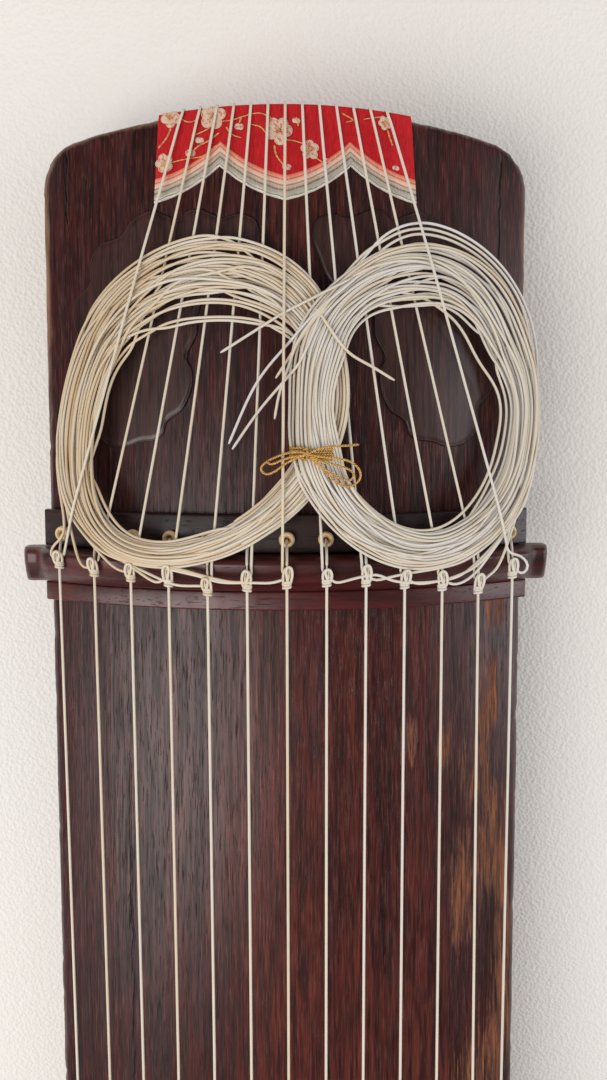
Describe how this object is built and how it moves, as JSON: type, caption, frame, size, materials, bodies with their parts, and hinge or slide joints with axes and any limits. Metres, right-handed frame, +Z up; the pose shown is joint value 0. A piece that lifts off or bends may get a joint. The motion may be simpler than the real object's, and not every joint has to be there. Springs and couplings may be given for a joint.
{
  "type": "koto",
  "caption": "Long wooden zither with crowned soundboard, strings over fixed ridges and sliding bridges, brocade-wrapped tail and spare string tied in rings.",
  "frame": {"origin": "middle of the flat ground under the feet, at the centre of the instrument's outline seen from above", "axes": "+Y along the body towards the tail with the rings of spare string, +X across the body towards string one, +Z up from the feet to the strings"},
  "size_m": [0.2642, 1.8335, 0.178],
  "materials": {
    "paulownia": "scorched, waxed and worn, fine straight grain",
    "plain_wood": "bare, planed",
    "rosewood": "polished, dark red-brown",
    "dark_rosewood": "polished, nearly black",
    "bone": "ivory-coloured, satin",
    "string_yarn": "twisted and waxed",
    "gold_cord": "metallic gold thread, twisted",
    "red_brocade": "woven brocade",
    "trim_ribbon": "striped woven ribbon"
  },
  "bodies": {
    "instrument": {"back_board": "plain_wood", "brace_head": "plain_wood", "brace_middle": "plain_wood", "brace_tail": "plain_wood", "cloth_trim": "trim_ribbon", "coil_left": "string_yarn", "coil_right": "string_yarn", "coil_tie": "gold_cord", "dragon_tongue": "rosewood", "front_leg_left": "dark_rosewood", "front_leg_right": "dark_rosewood", "head_bushes": "bone", "head_end_board": "dark_rosewood", "head_plate": "dark_rosewood", "head_ridge": "rosewood", "head_ridge_inlay": "bone", "leaf_plate_left": "paulownia", "leaf_plate_right": "paulownia", "rear_foot_left": "dark_rosewood", "rear_foot_right": "dark_rosewood", "string_01": "string_yarn", "string_02": "string_yarn", "string_03": "string_yarn", "string_04": "string_yarn", "string_05": "string_yarn", "string_06": "string_yarn", "string_07": "string_yarn", "string_08": "string_yarn", "string_09": "string_yarn", "string_10": "string_yarn", "string_11": "string_yarn", "string_12": "string_yarn", "string_13": "string_yarn", "string_hole_block": "dark_rosewood", "tail_bushes": "bone", "tail_cloth": "red_brocade", "tail_ridge": "rosewood", "tail_ridge_strip": "rosewood", "top_shell": "paulownia"},
    "bridge_01": {"bridge_01": "bone"},
    "bridge_02": {"bridge_02": "bone"},
    "bridge_03": {"bridge_03": "bone"},
    "bridge_04": {"bridge_04": "bone"},
    "bridge_05": {"bridge_05": "bone"},
    "bridge_06": {"bridge_06": "bone"},
    "bridge_07": {"bridge_07": "bone"},
    "bridge_08": {"bridge_08": "bone"},
    "bridge_09": {"bridge_09": "bone"},
    "bridge_10": {"bridge_10": "bone"},
    "bridge_11": {"bridge_11": "bone"},
    "bridge_12": {"bridge_12": "bone"},
    "bridge_13": {"bridge_13": "bone"}
  },
  "joints": [
    {"name": "bridge_01_slide", "type": "slide", "parent": "instrument", "child": "bridge_01", "axis": [0.0091, 0.9997, -0.022], "range_m": [-0.04, 0.04], "deforming": ["string_01"]},
    {"name": "bridge_02_slide", "type": "slide", "parent": "instrument", "child": "bridge_02", "axis": [0.0073, 0.9994, -0.0338], "range_m": [-0.04, 0.04], "deforming": ["string_02"]},
    {"name": "bridge_03_slide", "type": "slide", "parent": "instrument", "child": "bridge_03", "axis": [0.0058, 0.9996, -0.0261], "range_m": [-0.0395, 0.04], "deforming": ["string_03"]},
    {"name": "bridge_04_slide", "type": "slide", "parent": "instrument", "child": "bridge_04", "axis": [0.0043, 0.9997, -0.0221], "range_m": [-0.04, 0.0395], "deforming": ["string_04"]},
    {"name": "bridge_05_slide", "type": "slide", "parent": "instrument", "child": "bridge_05", "axis": [0.0028, 0.9998, -0.0185], "range_m": [-0.028, 0.04], "deforming": ["string_05"]},
    {"name": "bridge_06_slide", "type": "slide", "parent": "instrument", "child": "bridge_06", "axis": [0.0014, 0.9999, -0.0115], "range_m": [-0.038, 0.028], "deforming": ["string_06"]},
    {"name": "bridge_07_slide", "type": "slide", "parent": "instrument", "child": "bridge_07", "axis": [0, 0.9999, -0.0115], "range_m": [-0.0185, 0.038], "deforming": ["string_07"]},
    {"name": "bridge_08_slide", "type": "slide", "parent": "instrument", "child": "bridge_08", "axis": [-0.0015, 0.9999, -0.0115], "range_m": [-0.0155, 0.0185], "deforming": ["string_08"]},
    {"name": "bridge_09_slide", "type": "slide", "parent": "instrument", "child": "bridge_09", "axis": [-0.0029, 1, -0.0053], "range_m": [-0.023, 0.0155], "deforming": ["string_09"]},
    {"name": "bridge_10_slide", "type": "slide", "parent": "instrument", "child": "bridge_10", "axis": [-0.0039, 1, -0.0057], "range_m": [-0.01, 0.023], "deforming": ["string_10"]},
    {"name": "bridge_11_slide", "type": "slide", "parent": "instrument", "child": "bridge_11", "axis": [-0.0058, 1, -0.0063], "range_m": [-0.015, 0.01], "deforming": ["string_11"]},
    {"name": "bridge_12_slide", "type": "slide", "parent": "instrument", "child": "bridge_12", "axis": [-0.0074, 1, -0.0067], "range_m": [-0.005, 0.015], "deforming": ["string_12"]},
    {"name": "bridge_13_slide", "type": "slide", "parent": "instrument", "child": "bridge_13", "axis": [-0.0083, 1, -0.0015], "range_m": [-0.04, 0.005], "deforming": ["string_13"]}
  ]
}
